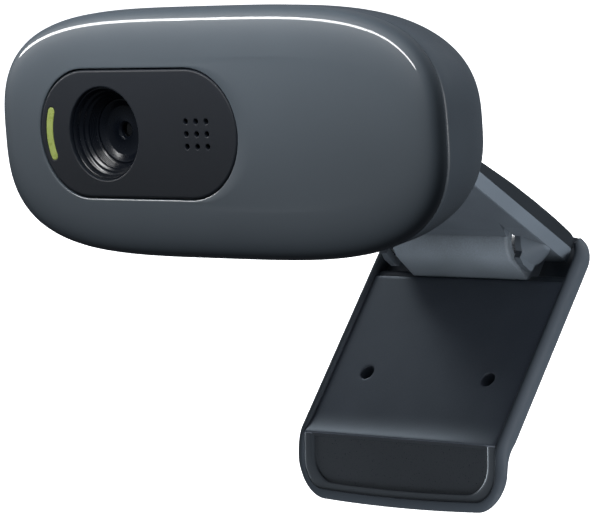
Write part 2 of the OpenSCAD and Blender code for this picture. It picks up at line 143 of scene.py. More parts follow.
def surface(name, color, rough, grain=900, bump=0.15, depth=0.03, vary=0.12, edge=0.0,
            metallic=0.0, spec=0.5, coat=0.0, coat_rough=0.1, edge_radius=0.12, blotch=70,
            emission=None, glow=0.0, rough_vary=0.08, border=None):
    """A moulded, painted or metal finish: fine grain, slight blotches, softened edges.

    depth and edge_radius are in mm. edge lightens the edges: painted highlight along them, partly
    standing for wear. border is (half width in mm, factor): the tone is multiplied outside that
    half width, which paints light on a side band.
    """
    mat, nds, lks = new_material(name)
    shader = nds["Principled BSDF"]
    coord = nds.new("ShaderNodeTexCoord").outputs["Object"]
    fine = noise(nds, lks, coord, grain)
    broad = noise(nds, lks, coord, blotch, 2.0)
    tone = ramp(nds, lks, broad.outputs["Fac"], 0.3, 0.7, 1 - vary, 1 + vary)
    speck = ramp(nds, lks, fine.outputs["Fac"], 0.3, 0.7, 1 - vary * 0.7, 1 + vary * 0.7)
    both = nds.new("ShaderNodeMath")
    both.operation = "MULTIPLY"
    lks.new(tone, both.inputs[0])
    lks.new(speck, both.inputs[1])
    # border paints light: the tone is multiplied outside a half width, a painted lit band along a
    # side.
    if border:
        split = nds.new("ShaderNodeSeparateXYZ")
        lks.new(coord, split.inputs[0])
        across = nds.new("ShaderNodeMath")
        across.operation = "ABSOLUTE"
        lks.new(split.outputs["X"], across.inputs[0])
        half, factor = border
        tone_with_painted_band = nds.new("ShaderNodeMath")
        tone_with_painted_band.operation = "MULTIPLY"
        lks.new(both.outputs[0], tone_with_painted_band.inputs[0])
        painted_light_band = ramp(nds, lks, across.outputs[0], (half - 0.1) * MM, (half + 0.1) * MM, 1, factor)
        lks.new(painted_light_band, tone_with_painted_band.inputs[1])
        both = tone_with_painted_band
    mix = nds.new("ShaderNodeVectorMath")
    mix.operation = "SCALE"
    mix.inputs[0].default_value = color
    lks.new(both.outputs[0], mix.inputs["Scale"])
    last = mix.outputs["Vector"]
    soft = nds.new("ShaderNodeBevel")
    soft.samples = 4
    soft.inputs["Radius"].default_value = edge_radius * MM
    # The edge mask paints a highlight along rounded edges, a lighter colour there that partly
    # stands for wear.
    if edge:
        geometry = nds.new("ShaderNodeNewGeometry")
        dot = nds.new("ShaderNodeVectorMath")
        dot.operation = "DOT_PRODUCT"
        lks.new(soft.outputs["Normal"], dot.inputs[0])
        lks.new(geometry.outputs["Normal"], dot.inputs[1])
        edge_wear_and_shine = ramp(nds, lks, dot.outputs["Value"], 0.99, 0.8, 0.0, edge)
        lighter = nds.new("ShaderNodeMix")
        lighter.data_type = "RGBA"
        lks.new(edge_wear_and_shine, lighter.inputs["Factor"])
        lks.new(last, lighter.inputs["A"])
        lighter.inputs["B"].default_value = tuple(min(1, 2.6 * c + 0.03) for c in color) + (1,)
        last = lighter.outputs["Result"]
    lks.new(last, shader.inputs["Base Color"])
    lks.new(ramp(nds, lks, fine.outputs["Fac"], 0.3, 0.7, rough - rough_vary, rough + rough_vary),
            shader.inputs["Roughness"])
    relief = nds.new("ShaderNodeBump")
    relief.inputs["Strength"].default_value = bump
    relief.inputs["Distance"].default_value = depth * MM
    lks.new(fine.outputs["Fac"], relief.inputs["Height"])
    lks.new(soft.outputs["Normal"], relief.inputs["Normal"])
    lks.new(relief.outputs["Normal"], shader.inputs["Normal"])
    shader.inputs["Metallic"].default_value = metallic
    shader.inputs["Specular IOR Level"].default_value = spec
    shader.inputs["Coat Weight"].default_value = coat
    shader.inputs["Coat Roughness"].default_value = coat_rough
    if emission:
        shader.inputs["Emission Color"].default_value = emission + (1,)
        shader.inputs["Emission Strength"].default_value = glow
    return mat


def clear_glass(name, tint, rough=0.03):
    """Clear tinted glass or film with a faint smear."""
    mat, nds, lks = new_material(name)
    shader = nds["Principled BSDF"]
    coord = nds.new("ShaderNodeTexCoord").outputs["Object"]
    smear = noise(nds, lks, coord, 400)
    lks.new(ramp(nds, lks, smear.outputs["Fac"], 0.3, 0.7, rough, rough * 2.5),
            shader.inputs["Roughness"])
    shader.inputs["Base Color"].default_value = tint + (1,)
    shader.inputs["Transmission Weight"].default_value = 1.0
    shader.inputs["IOR"].default_value = 1.5
    shader.inputs["Coat Weight"].default_value = 0.2
    return mat


MATERIALS = {
    "face": surface("face_lacquer", (0.028, 0.035, 0.042), 0.45, grain=6000, bump=0.05,
                    depth=0.002, vary=0.03, coat=0.6, coat_rough=0.05, spec=0.2,
                    rough_vary=0.02),
    "shell": surface("shell_matte", (0.030, 0.037, 0.045), 0.45, grain=6500, bump=0.25,
                     depth=0.006, vary=0.08, spec=0.3),
    "bezel": surface("bezel_satin", (0.0044, 0.0056, 0.0078), 0.42, grain=6500, bump=0.2,
                     depth=0.004, vary=0.06, spec=0.16),
    "lens": surface("lens_black", (0.0012, 0.0018, 0.0032), 0.26, grain=1500, bump=0.01,
                    depth=0.001, vary=0.10, edge_radius=0.0, spec=0.45, rough_vary=0.02),
    # Near-black, far darker than the shell: painted shadow for the seam's groove, put on the
    # shell's tongue.
    "gap": surface("seam_shadow_black", (0.004, 0.004, 0.005), 0.6, bump=0.2, depth=0.01, spec=0.1),
    "inner": surface("inner_black", (0.018, 0.018, 0.019), 0.55, bump=0.2, depth=0.02),
    "board": surface("board_green", (0.015, 0.085, 0.030), 0.35, grain=1500, bump=0.12,
                     depth=0.02, vary=0.15, edge=0.3, coat=0.3),
    "chip": surface("chip_black", (0.022, 0.022, 0.024), 0.5, grain=3000, bump=0.2, depth=0.01),
    "steel": surface("steel", (0.50, 0.50, 0.49), 0.30, grain=1500, bump=0.12, depth=0.01,
                     metallic=1.0, vary=0.08, edge=0.2, edge_radius=0.08),
    "pin": surface("pin_steel", (0.40, 0.41, 0.42), 0.28, grain=1600, bump=0.10, depth=0.01,
                   metallic=1.0, vary=0.10, edge=0.3, edge_radius=0.10),
    "lead": surface("tinned_wire", (0.70, 0.69, 0.65), 0.25, metallic=1.0, vary=0.05),
    "sensor": surface("sensor", (0.05, 0.045, 0.08), 0.15, vary=0.10, coat=0.6),
    "led_body": surface("led_body", (0.70, 0.70, 0.55), 0.35, vary=0.05,
                        emission=(0.5, 0.8, 0.1), glow=0.4),
    "led": surface("led_glow", (0.10, 0.12, 0.03), 0.30, grain=1200, vary=0.10, coat=0.3,
                   emission=(0.34, 0.43, 0.10), glow=0.28, edge_radius=0.2),
    "rubber": surface("soft_rubber", (0.020, 0.020, 0.021), 0.7, grain=1800, bump=0.4,
                      depth=0.03),
    "ivory": surface("header_ivory", (0.60, 0.55, 0.42), 0.45, vary=0.06, edge=0.2),
    # The arm's border makes its side bands, outside 14.25 mm, 1.45 times lighter: painted light on
    # the chamfers.
    "arm": surface("arm_satin", (0.048, 0.058, 0.070), 0.42, grain=6000, bump=0.35,
                   depth=0.006, vary=0.10, edge_radius=0.1, border=(14.25, 1.45)),
    # A darker copy of the arm's finish, used on the arm cover: painted shade on the arm's outer
    # side.
    "arm_shaded_top": surface("arm_cover_painted_shade", (0.025, 0.030, 0.036), 0.42, grain=6000, bump=0.3,
                       depth=0.005, vary=0.10),
    "leg": surface("leg_satin", (0.032, 0.039, 0.048), 0.42, grain=6500, bump=0.25,
                   depth=0.005, vary=0.08),
    "panel": surface("panel_satin", (0.076, 0.086, 0.104), 0.45, grain=6500, bump=0.30,
                     depth=0.006, vary=0.12, spec=0.22),
    "knuckle": surface("knuckle_matte", (0.140, 0.166, 0.194), 0.48, grain=5000, bump=0.6,
                       depth=0.012, vary=0.22),
    "pad": surface("pad_rubber", (0.048, 0.058, 0.070), 0.50, grain=6000, bump=0.5,
                   depth=0.008, vary=0.14),
    "tip_pad": surface("tip_rubber", (0.019, 0.022, 0.026), 0.34, grain=6000, bump=0.15,
                       depth=0.004, vary=0.08),
    # A darker copy of the leg's finish, used on the tip's land: painted shade.
    "land": surface("land_painted_shade", (0.026, 0.031, 0.037), 0.42, grain=6500, bump=0.25,
                    depth=0.005, vary=0.08),
    "glass": clear_glass("lens_glass", (0.30, 0.35, 0.45)),
    "filter": clear_glass("filter_glass", (0.75, 0.35, 0.45)),
}
FINISH = {
    "front_cover": "face", "rear_shell": "shell", "face_bezel": "bezel", "lens_hood": "lens",
    "lens_barrel": "lens", "lens_elements": "glass", "lens_holder": "inner",
    "ir_filter": "filter", "image_sensor": "sensor", "main_board": "board",
    "usb_controller": "chip", "flash_memory": "chip", "crystal": "steel",
    "board_screws": "steel", "led_light_pipe": "led", "status_led": "led_body",
    "microphone": "steel", "microphone_boot": "rubber", "microphone_leads": "lead",
    "cable_header": "ivory", "cable_gland": "inner", "tilt_bracket": "shell",
    "bracket_screws": "steel", "arm_plate": "arm", "arm_cover": "arm_shaded_top", "arm_grip_pad": "pad",
    "arm_screws": "steel", "tilt_pin": "pin", "tilt_washers": "pin", "clip_pin": "pin",
    "clip_washers": "pin", "leg_shell": "leg", "leg_panel": "panel", "tip_grip_pad": "tip_pad",
}
for node_name, finish in FINISH.items():
    data = nodes[node_name].data
    data.materials.clear()
    data.materials.append(MATERIALS[finish])


# ---------------------------------------------------------------- mesh helpers

class Sheet:
    """Vertices and faces gathered loop by loop, in millimetres."""

    def __init__(self):
        self.verts = []
        self.faces = []

    def loop(self, points):
        start = len(self.verts)
        self.verts += [tuple(p) for p in points]
        return list(range(start, start + len(points)))

    def skin(self, loops, closed=True):
        """Joins loops of equal length with quads, and returns their vertex numbers."""
        made = [self.loop(p) for p in loops]
        for a, b in zip(made, made[1:]):
            count = len(a)
            for i in range(count if closed else count - 1):
                j = (i + 1) % count
                self.faces.append((a[i], a[j], b[j], b[i]))
        return made

    def cap(self, ring):
        self.faces.append(tuple(ring))

    def across(self, ring):
        """Fills an open loop that is symmetric about x = 0 with rows from side to side."""
        count = len(ring)
        for i in range(count // 2 - 1):
            self.faces.append((ring[i], ring[i + 1], ring[count - 2 - i], ring[count - 1 - i]))


def build(name, sheet, place, finish, body, stands_for=(), sharp=35):
    """Makes a piece from a sheet: place is its frame, sharp the angle of its hard edges."""
    mesh = bpy.data.meshes.new(name)
    mat = TO_METRES @ place
    mesh.from_pydata([mat @ Vector(v) for v in sheet.verts], [], sheet.faces)
    bm = bmesh.new()
    bm.from_mesh(mesh)
    bmesh.ops.remove_doubles(bm, verts=bm.verts, dist=1e-7)
    bmesh.ops.recalc_face_normals(bm, faces=bm.faces)
    limit = math.radians(sharp)
    for edge in bm.edges:
        edge.smooth = edge.calc_face_angle(0.0) < limit
    for face in bm.faces:
        face.smooth = True
    bm.to_mesh(mesh)
    bm.free()
    mesh.materials.append(MATERIALS[finish])
    piece = bpy.data.objects.new(name, mesh)
    scene.collection.objects.link(piece)
    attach(piece, body)
    if stands_for:
        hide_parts(*stands_for)
    return piece


def power(value, exponent):
    """A power that keeps the sign."""
    return math.copysign(abs(value) ** exponent, value)


# ---------------------------------------------------------------- head

def outline(inset_x, inset_z, y):
    """The head's outline, set in, at depth y. y may be a function of x."""
    a, b = HALF_W - inset_x, HALF_H - inset_z
    points = []
    for i in range(OUTLINE_POINTS):
        t = TAU * i / OUTLINE_POINTS
        x = a * power(math.cos(t), 2 / OUTLINE_POWER["x"])
        z = b * power(math.sin(t), 2 / OUTLINE_POWER["z"])
        points.append((x, y(x) if callable(y) else y, z))
    return points


def dome(x):
    """The face's depth across its width."""
    return FACE_DOME * (x / HALF_W) ** 2


def pill(radius, y):
    """A loop round the bezel's opening, matched point by point to the outline."""
    points = []
    half = BEZEL["run"] / 2
    for x, _, z in outline(0, 0, 0):
        dx, dz = x / HALF_W * (half + radius), z / HALF_H * radius
        size = math.hypot(dx, dz)
        dx, dz = dx / size, dz / size
        reach = radius / abs(dz) if abs(dz) > 1e-9 else 1e9
        if abs(dx) * reach > half:
            c = half * abs(dx)
            reach = c + math.sqrt(max(0, c * c - half * half + radius * radius))
        px = BEZEL["x"] + dx * reach
        points.append((px, y(px) if callable(y) else y, dz * reach))
    return points


def make_front_cover():
    """The face plate: its filleted edge, the slightly domed face and the bezel's opening."""
    s = Sheet()
    loops = [outline(LINING, LINING, SEAM - 0.02), outline(0.14, 0.14, SEAM),
             outline(0.04, 0.04, SEAM - 0.04), outline(0, 0, FILLET["depth"])]
    angles = [84, 77, 70, 62, 54, 46, 39, 32, 26, 20, 15.5, 12, 9.2, 7, 5.2, 3.8, 3]
    exponent = 2 / FILLET["power"]
    for angle in angles:
        t = math.radians(angle)
        inset = 1 - math.sin(t) ** exponent
        back = 1 - math.cos(t) ** exponent
        loops.append(outline(FILLET["x"] * inset, FILLET["z"] * inset,
                             lambda x, f=back: dome(x) * (1 - f) + FILLET["depth"] * f))
    rim = pill(BEZEL["r"] + 0.2, dome)
    edge = outline(FILLET["x"] * inset, FILLET["z"] * inset, dome)
    steps = 12
    for i in range(1, steps):
        f = i / steps
        loops.append([tuple(p + (q - p) * f for p, q in zip(a, b)) for a, b in zip(edge, rim)])
    inside = 1.4
    loops += [rim, pill(BEZEL["r"] + 0.06, lambda x: dome(x) + 0.05),
              pill(BEZEL["r"], lambda x: dome(x) + 0.2), pill(BEZEL["r"], inside)]
    loops.append(outline(5.2, 5.2, inside))
    s.skin(loops)
    build("cover_plate", s, HEAD, "face", "head", ["front_cover"], sharp=28)


def make_rear_shell():
    """The rounded back, and the tongue in the groove before it, near-black as painted shadow in
    the seam.
    """
    s = Sheet()
    y0 = SHELL["start"]
    lip = 0.32
    loops = [outline(LINING, LINING, SEAM), outline(LINING, LINING, y0 + 0.02)]
    for inset, y in ((0.62, 0), (0.42, 0.05), (0.27, 0.16), (0.21, lip)):
        loops.append(outline(inset, inset, y0 + y))
    steps = 30
    exponent = 2 / SHELL["power"]
    for i in range(1, steps + 1):
        t = math.pi / 2 * i / steps
        inset = 1 - math.cos(t) ** exponent
        back = math.sin(t) ** exponent
        loops.append(outline(SHELL["set_in"] + SHELL["x"] * inset,
                             SHELL["set_in"] + SHELL["z"] * inset,
                             y0 + lip + (DEPTH - y0 - lip) * back))
    back = loops[-1]
    for f in (0.75, 0.5, 0.25):
        loops.append([(x * f, y, z * f) for x, y, z in back])
    made = s.skin(loops)
    s.cap(made[-1])
    build("back_shell", s, HEAD, "shell", "head", ["rear_shell"], sharp=50)
    # The tongue is coloured near-black: painted shadow in the groove at the seam.
    tongue = Sheet()
    tongue.skin([outline(0.75, 0.75, SEAM - 0.2), outline(0.75, 0.75, y0 + 0.2)])
    build("seam_shadow_tongue", tongue, HEAD, "gap", "head", [])


def disc(x, z, r, count=28):
    """A round loop."""
    return [(x + r * math.cos(TAU * i / count), z + r * math.sin(TAU * i / count))
            for i in range(count)]


def lamp_window(width):
    """The outline of the lamp's curved window."""
    points = []
    for end in (1, -1):
        for a in range(-LAMP["spread"], LAMP["spread"] + 1, 3):
            t = math.radians(180 + a * end)
            reach = LAMP["r"] + width / 2 * end
            points.append((LAMP["x"] + reach * math.cos(t), reach * math.sin(t)))
        t = math.radians(180 + LAMP["spread"] * end)
        cx, cz = LAMP["x"] + LAMP["r"] * math.cos(t), LAMP["r"] * math.sin(t)
        for b in range(15, 180, 15):
            a = t + math.radians(b + (0 if end > 0 else 180))
            points.append((cx + width / 2 * math.cos(a), cz + width / 2 * math.sin(a)))
    return points


def encloses(loop, x, z):
    """Whether the point lies inside the loop, by counting crossings."""
    inside = False
    for (x0, z0), (x1, z1) in zip(loop, loop[1:] + loop[:1]):
        if (z0 > z) != (z1 > z) and x < x0 + (z - z0) / (z1 - z0) * (x1 - x0):
            inside = not inside
    return inside


def make_bezel():
    """The dark insert: a flat face with rounded rims at its edge and at every opening."""
    s = Sheet()
    face, r, back = BEZEL["face"], BEZEL["r"] - 0.13, 1.6
    flat_in = 0.40
    edge_rings = [(flat_in, 0), (0.34, 0), (0.18, 0.02), (0.07, 0.08), (0.02, 0.16), (0, 0.28)]
    s.skin([pill(r - inset, face + deep) for inset, deep in edge_rings] + [pill(r, back)])
    openings = [lambda d: disc(LENS["x"], 0, LENS["r"] + d, 96),
                lambda d: lamp_window(LAMP["width"] + 2 * d)]
    for i in (-1, 0, 1):
        for j in (-1, 0, 1):
            x, z = MIC["x"] + MIC["pitch_x"] * i, MIC["pitch_z"] * j
            openings.append(lambda d, x=x, z=z: disc(x, z, MIC["r"] + d))
    holes = []
    for opening in openings:
        lip = 0.2 if opening is openings[0] else 0.09
        rings = [(lip + 0.04, 0), (lip, 0), (lip * 0.5, 0.12 * lip), (lip * 0.18, 0.42 * lip),
                 (0, lip), (0, 2.0)]
        s.skin([[(x, face + deep, z) for x, z in opening(d)] for d, deep in rings])
        holes.append(opening(lip + 0.04))
    border = [(x, z) for x, _, z in pill(r - flat_in, face)]
    flat, edges = [], []
    for loop in [border] + holes:
        first = len(flat)
        flat += loop
        edges += [(first + i, first + (i + 1) % len(loop)) for i in range(len(loop))]
    whole_outline, tolerance = 0, 1e-6
    points, _, triangles = delaunay_2d_cdt([Vector(p) for p in flat], edges, [],
                                           whole_outline, tolerance)[:3]
    start = len(s.verts)
    s.verts += [(p[0], face, p[1]) for p in points]
    for tri in triangles:
        cx = sum(points[i][0] for i in tri) / 3
        cz = sum(points[i][1] for i in tri) / 3
        if not any(encloses(hole, cx, cz) for hole in holes):
            s.faces.append(tuple(start + i for i in tri))
    build("bezel_insert", s, HEAD, "bezel", "head", ["face_bezel"], sharp=50)


def lathe(profile, centre_x, count=144):
    """Turns (radius, depth) points about the lens axis."""
    s = Sheet()
    loops = []
    for r, y in profile:
        loops.append([(centre_x + r * math.cos(TAU * i / count), y, r * math.sin(TAU * i / count))
                      for i in range(count)])
    s.skin(loops)
    return s


def make_lens():
    """The stepped well and the barrel's front, each one turned outline."""
    well = [(5.97, 1.4), (5.97, 0.62), (5.80, 0.62), (5.74, 0.68), (5.56, 1.42),
            (5.52, 1.50), (5.44, 1.55), (5.24, 1.72), (5.19, 1.80), (5.13, 2.06), (5.09, 2.12),
            (4.88, 2.28), (4.82, 2.36)]
    for i in range(5):
        r, y = 4.76 - 0.09 * i, 2.5 + 0.2 * i
        well += [(r, y), (r - 0.02, y + 0.12), (r - 0.06, y + 0.15)]
    well += [(4.28, 3.55), (4.22, 3.62), (4.22, 4.3)]
    build("lens_rings", lathe(well, LENS["x"]), HEAD, "lens", "head", ["lens_hood"],
          sharp=40)
    barrel = [(4.28, 4.6), (4.28, 3.9), (4.24, 3.78), (4.14, 3.7), (4.02, 3.7), (3.96, 3.73),
              (3.34, 4.24), (3.28, 4.3), (3.2, 4.33), (2.3, 4.36), (1.32, 4.36), (1.24, 4.33),
              (1.18, 4.36), (0.92, 4.58), (0.88, 4.66), (0.88, 5.0)]
    build("lens_barrel_front", lathe(barrel, LENS["x"]), HEAD, "lens", "head", ["lens_barrel"],
          sharp=40)


# ---------------------------------------------------------------- arm

def make_arm_pad():
    """The grip pad, flush in the arm's underside and level with the lip at its back end."""
    s = Sheet()
    ys = [PAD["front"] + PAD["r"] * (1 - math.cos(math.radians(a))) for a in range(4, 91, 6)]
    ys += [-4, 0, 4, 7, LIP["start"], 8.2, 8.6, 9, PAD["back"]]
    rows = []
    for y in ys:
        into = max(0, PAD["r"] - (y - PAD["front"]))
        half = PAD["half"] - PAD["r"] + math.sqrt(PAD["r"] ** 2 - into ** 2)
        drop = LIP["slope"] * max(0, y - LIP["start"])
        right = [6, LIP["half"], LIP["half"] + 0.02, half]
        xs = [-x for x in reversed(right)] + [0] + right
        xs = [max(-half, min(half, x)) for x in xs]
        face = [(x, y, -PAD["proud"] - (drop if abs(x) <= LIP["half"] else 0)) for x in xs]
        rows.append([(-half, y, PAD["top"])] + face + [(half, y, PAD["top"])])
    front = [(x, y, PAD["top"]) for x, y, _ in rows[0]]
    back = [(x, y, PAD["top"]) for x, y, _ in rows[-1]]
    s.skin([front] + rows + [back], closed=False)
    build("grip_pad", s, ARM, "pad", "arm", ["arm_grip_pad"], sharp=50)


# ---------------------------------------------------------------- leg

def bend(y):
    """How far the leg's faces drop where the tip bends away."""
    u = RIDGE_Y - y
    if u <= -BEND_HALF:
        return 0.0
    if u >= BEND_HALF:
        return -TIP_SLOPE * u
    return -TIP_SLOPE * (u + BEND_HALF) ** 2 / (4 * BEND_HALF)


def clamped(value):
    return min(1, max(0, value))


def eased(value):
    """0 to 1 with a soft start and end."""
    f = clamped(value)
    return f * f * (3 - 2 * f)


def thickness(y):
    """The tray's thickness along z, which tapers to the tip."""
    full = RIM_Z - BACK_Z
    return full + (TIP_T - full) * clamped((TAPER_START - y) / TAPER_RUN)


def arc(cx, cy, r, start, end, count):
    """Points round an arc, both ends included; the angles are in degrees."""
    return [(cx + r * math.cos(math.radians(start + (end - start) * i / count)),
             cy + r * math.sin(math.radians(start + (end - start) * i / count)))
            for i in range(count + 1)]


def line(a, b, count):
    """Points between a and b, both ends left out."""
    return [(a[0] + (b[0] - a[0]) * i / count, a[1] + (b[1] - a[1]) * i / count)
            for i in range(1, count)]


def bow(x, y):
    """The tip's end is curved: its corners lie a little higher up the leg."""
    return y + BOW["rise"] * clamped((BOW["start"] - y) / BOW["run"]) * (x / LEG_HALF) ** 2


def leg_loop(d, depth):
    """A loop round the leg, d inside its outline and depth below the rim's top."""
    half, low, high = LEG_HALF - d, TIP_Y + 0.6 * d, TOP_Y - d
    r0, r1 = max(TIP_R - d, LEAST_R), max(TOP_R - d, LEAST_R)
    right = arc(half - r0, low + r0, r0, -90, 0, 16)
    right += line((half, low + r0), (half, high - r1), 60)
    right += arc(half - r1, high - r1, r1, 0, 90, 16)
    top = line((half - r1, high), (r1 - half, high), 30)
    left = [(-x, y) for x, y in reversed(right)]
    base = line((r0 - half, low), (half - r0, low), 30)
    points = right + top + left + base
    result = []
    for x, y in points:
        y = bow(x, y)
        drop = depth(y) if callable(depth) else depth
        drop = max(drop, min(open_top(x, y), thickness(y)))
        result.append((x, y, RIM_Z + bend(y) - drop))
    return result


def open_top(x, y):
    """The upper edge is cut down between the corners, where the arm's end swings."""
    return CUT["deep"] * eased((CUT["half"] - abs(x)) / 1.2) * eased(y - CUT["low"])


def tip_bend(y):
    """The drop of the recess on the tip, which starts sharply at the ridge."""
    return -TIP_SLOPE * max(0, RIDGE_Y + 0.2 - y)


def u_loop(half, low, r, high, depth):
    """An open U from the ridge down one side, round the tip and up the other."""
    left = [(-half, high)] + line((-half, high), (-half, low + r), 14)
    left += arc(r - half, low + r, r, 180, 270, 12) + line((r - half, low), (0, low), 12)
    points = left + [(0, low)] + [(-x, y) for x, y in reversed(left)]
    result = []
    for x, y in points:
        y = bow(x, y)
        result.append((x, y, RIM_Z + tip_bend(y) - depth))
    return result


def inner_depth(y):
    """The rim's inner step: deep beside the panel, fading out on the tip."""
    return 0.16 + 0.5 * eased((y - RIDGE_Y + 3) / 4)


def make_leg_shell():
    """The tray: the rounded rim all round, the flat back and the walls inside the rim."""
    s = Sheet()
    t = thickness
    back = [leg_loop(1.1, t), leg_loop(0.5, lambda y: t(y) - 0.10),
            leg_loop(0.15, lambda y: max(t(y) - 0.35, 0.74 * t(y))),
            leg_loop(0.0, lambda y: max(t(y) - 0.75, 0.62 * t(y)))]
    front = [leg_loop(d, lambda y, part=part: part * t(y))
             for d, part in ((0.0, 0.58), (0.06, 0.42), (0.2, 0.26), (0.42, 0.13), (0.66, 0.05),
                             (0.9, 0.012))]
    inner_edge = [leg_loop(1.1, 0.0), leg_loop(1.26, 0.03), leg_loop(1.36, 0.13),
                  leg_loop(1.4, lambda y: inner_depth(y) * 0.8), leg_loop(1.43, inner_depth)]
    s.skin(back + front + inner_edge)
    flat = s.skin([leg_loop(d, t) for d in (1.1, 2.4, 4.0)])
    s.cap(flat[-1])
    walls = s.skin([leg_loop(1.43, inner_depth),
                    leg_loop(1.46, lambda y: min(2.36, t(y) - 0.15))])
    floor = [i for i in walls[1] if s.verts[i][1] > -8]
    right = [i for i in floor if s.verts[i][0] > 0]
    left = [i for i in floor if s.verts[i][0] <= 0]
    s.cap(right + left)
    build("leg_tray", s, LEG, "leg", "leg", ["leg_shell"], sharp=48)


def make_tip():
    """The bent tip inside the rim: a dished land, then the pocket that holds the pad."""
    s = Sheet()
    # Each loop's half width, height over the tip's end, corner radius and depth
    rim = [(16.42, 0.83, 3.2, 1.0), (16.40, 0.85, 3.2, 0.30), (16.30, 0.92, 3.15, 0.22),
             (16.18, 1.0, 3.1, 0.20), (15.9, 1.2, 3.1, 0.21), (15.5, 1.45, 3.1, 0.23),
             (15.2, 1.62, 3.3, 0.26), (15.05, 1.75, 3.3, 0.32), (14.95, 1.86, 3.3, 0.45),
             (14.9, 1.95, 3.3, 1.1)]
    s.skin([u_loop(half, TIP_Y + low, r, RIDGE_Y + 0.75, depth) for half, low, r, depth in rim],
           closed=False)
    # The land takes the leg's finish darkened: painted shade on the tip.
    build("tip_land", s, LEG, "land", "leg", [], sharp=60)
    p = Sheet()
    dish = [(15.1, 1.7, 3.4, 0.70), (14.8, 2.0, 3.3, 0.74), (14.5, 2.3, 3.2, 0.78),
            (14.2, 2.6, 3.1, 0.80), (13.4, 3.4, 2.7, 0.80)]
    wall = [(x, RIDGE_Y + 0.10, FLOOR_Z + 0.42) for x in (-14.96, 14.96)]
    p.skin([wall, [(x, y - 0.02, z - 1.2) for x, y, z in wall]], closed=False)
    made = p.skin([u_loop(half, TIP_Y + low, r, RIDGE_Y + 0.5, depth)
                   for half, low, r, depth in dish], closed=False)
    p.across(made[-1])
    build("tip_pad", p, LEG, "tip_pad", "leg", ["tip_grip_pad"], sharp=60)


def rounding(inside, radius, drop):
    """How far a face falls at a distance inside its edge."""
    return drop * (1 - inside / radius) ** 2 if inside < radius else 0


def panel_height(x, y):
    """The panel's face: flat, a swell before the ridge, and rounded edges."""
    f = clamped((PANEL["swell_y"] - y) / PANEL["swell_run"])
    return (FLOOR_Z + PANEL["swell"] * f ** 2.4
            - rounding(FLOOR_TOP - y, 0.2, 0.12)
            - rounding(y - PANEL["end"], 0.13, 0.10)
            - rounding(PANEL["half"] - abs(x), 0.3, 0.14))


def hole_point(side, p, blend_in, r=HOLE["r"] + 0.2, z=FLOOR_Z):
    """A point between the hole's circle and the square block round it."""
    cx, cy = side * HOLE["x"], HOLE["y"]
    dx, dy = p[0] - cx, p[1] - cy
    size = math.hypot(dx, dy)
    ring = (cx + dx / size * r, cy + dy / size * r)
    return (p[0] + (ring[0] - p[0]) * blend_in, p[1] + (ring[1] - p[1]) * blend_in, z)


def cut_hole(sheet, grid, row, col, side):
    """Swaps a square block of the grid's faces for a round hole with a rounded edge."""
    cells = HOLE["cells"]
    block = {grid[row + j][col + i] for j in range(cells + 1) for i in range(cells + 1)}
    sheet.faces = [f for f in sheet.faces if not all(v in block for v in f)]
    edge = [grid[row][col + i] for i in range(cells)]
    edge += [grid[row + j][col + cells] for j in range(cells)]
    edge += [grid[row + cells][col + cells - i] for i in range(cells)]
    edge += [grid[row + cells - j][col] for j in range(cells)]
    outer = [sheet.verts[v] for v in edge]
    loops = [outer]
    for blend_in in (0.3, 0.6, 0.85):
        loops.append([hole_point(side, p, blend_in) for p in outer])
    for wider, deep in ((0.17, 0), (0.09, 0.02), (0.02, 0.1), (0, 0.2), (0, 2.0)):
        loops.append([hole_point(side, p, 1, HOLE["r"] + wider, FLOOR_Z - deep) for p in outer])
    made = sheet.skin(loops)
    sheet.cap(made[-1])


def make_leg_panel():
    """The inner panel: flat, then swelling to the ridge, with two round holes."""
    s = Sheet()
    half, end, pitch, cells = PANEL["half"], PANEL["end"], HOLE["pitch"], HOLE["cells"]
    block = pitch * cells / 2
    near = [HOLE["x"] - block + pitch * i for i in range(cells + 1)]
    right = [1.6, 3.2, 4.8, 6.4] + near + [13.8, 14.8, 15.6]
    right += [half - inset for inset in (0.3, 0.15, 0.05, 0)]
    xs = [-x for x in reversed(right)] + [0] + right
    ys = [FLOOR_TOP, FLOOR_TOP - 0.08, FLOOR_TOP - 0.2, -4.8] + list(range(-6, -17, -2)) + [-17]
    row = len(ys)
    ys += [HOLE["y"] + block - pitch * i for i in range(cells + 1)] + [-23.2, -24.2, -25.2]
    ys += [PANEL["swell_y"] - 0.35 * i for i in range(12)]
    ys += [end + inset for inset in (0.23, 0.13, 0.07, 0.03, 0)]
    grid = s.skin([[(x, y, panel_height(x, y)) for x in xs] for y in ys], closed=False)
    s.skin([[(x, FLOOR_TOP, FLOOR_Z - 0.9) for x in xs],
            [(x, FLOOR_TOP, panel_height(x, FLOOR_TOP)) for x in xs]], closed=False)
    s.skin([[(x, end, panel_height(x, end)) for x in xs],
            [(x, end - 0.01, FLOOR_Z - 1.1) for x in xs]], closed=False)
    for side, first in ((-1, -near[-1]), (1, near[0])):
        cut_hole(s, grid, row, xs.index(first), side)
    build("grip_panel", s, LEG, "panel", "leg", ["leg_panel"], sharp=40)


def make_knuckle():
    """The leg's hinge knuckle: a barrel on a straight front wall, with rounded end edges."""
    s = Sheet()
    foot, waist = KNUCKLE["foot"], -2.0

    def section(inset):
        r = KNUCKLE["r"] - inset
        front = min(r, KNUCKLE["front"])
        points = [(-r, foot), (-r, 2 * waist), (-r, waist)] + arc(0, 0, r, 180, 0, 30)
        return points + [(front, waist), (front, foot)]

    edge = [(0, 0.55), (0.04, 0.34), (0.14, 0.17), (0.3, 0.05), (0.5, 0.0)]
    stations = [(KNUCKLE["half"] - along, inset) for along, inset in edge]
    stations = [(-x, inset) for x, inset in stations] + stations[::-1]
    made = s.skin([[(x, y, z) for y, z in section(inset)] for x, inset in stations])
    s.cap(made[0])
    s.cap(made[-1])
    build("hinge_knuckle", s, LEG, "knuckle", "leg", [], sharp=50)


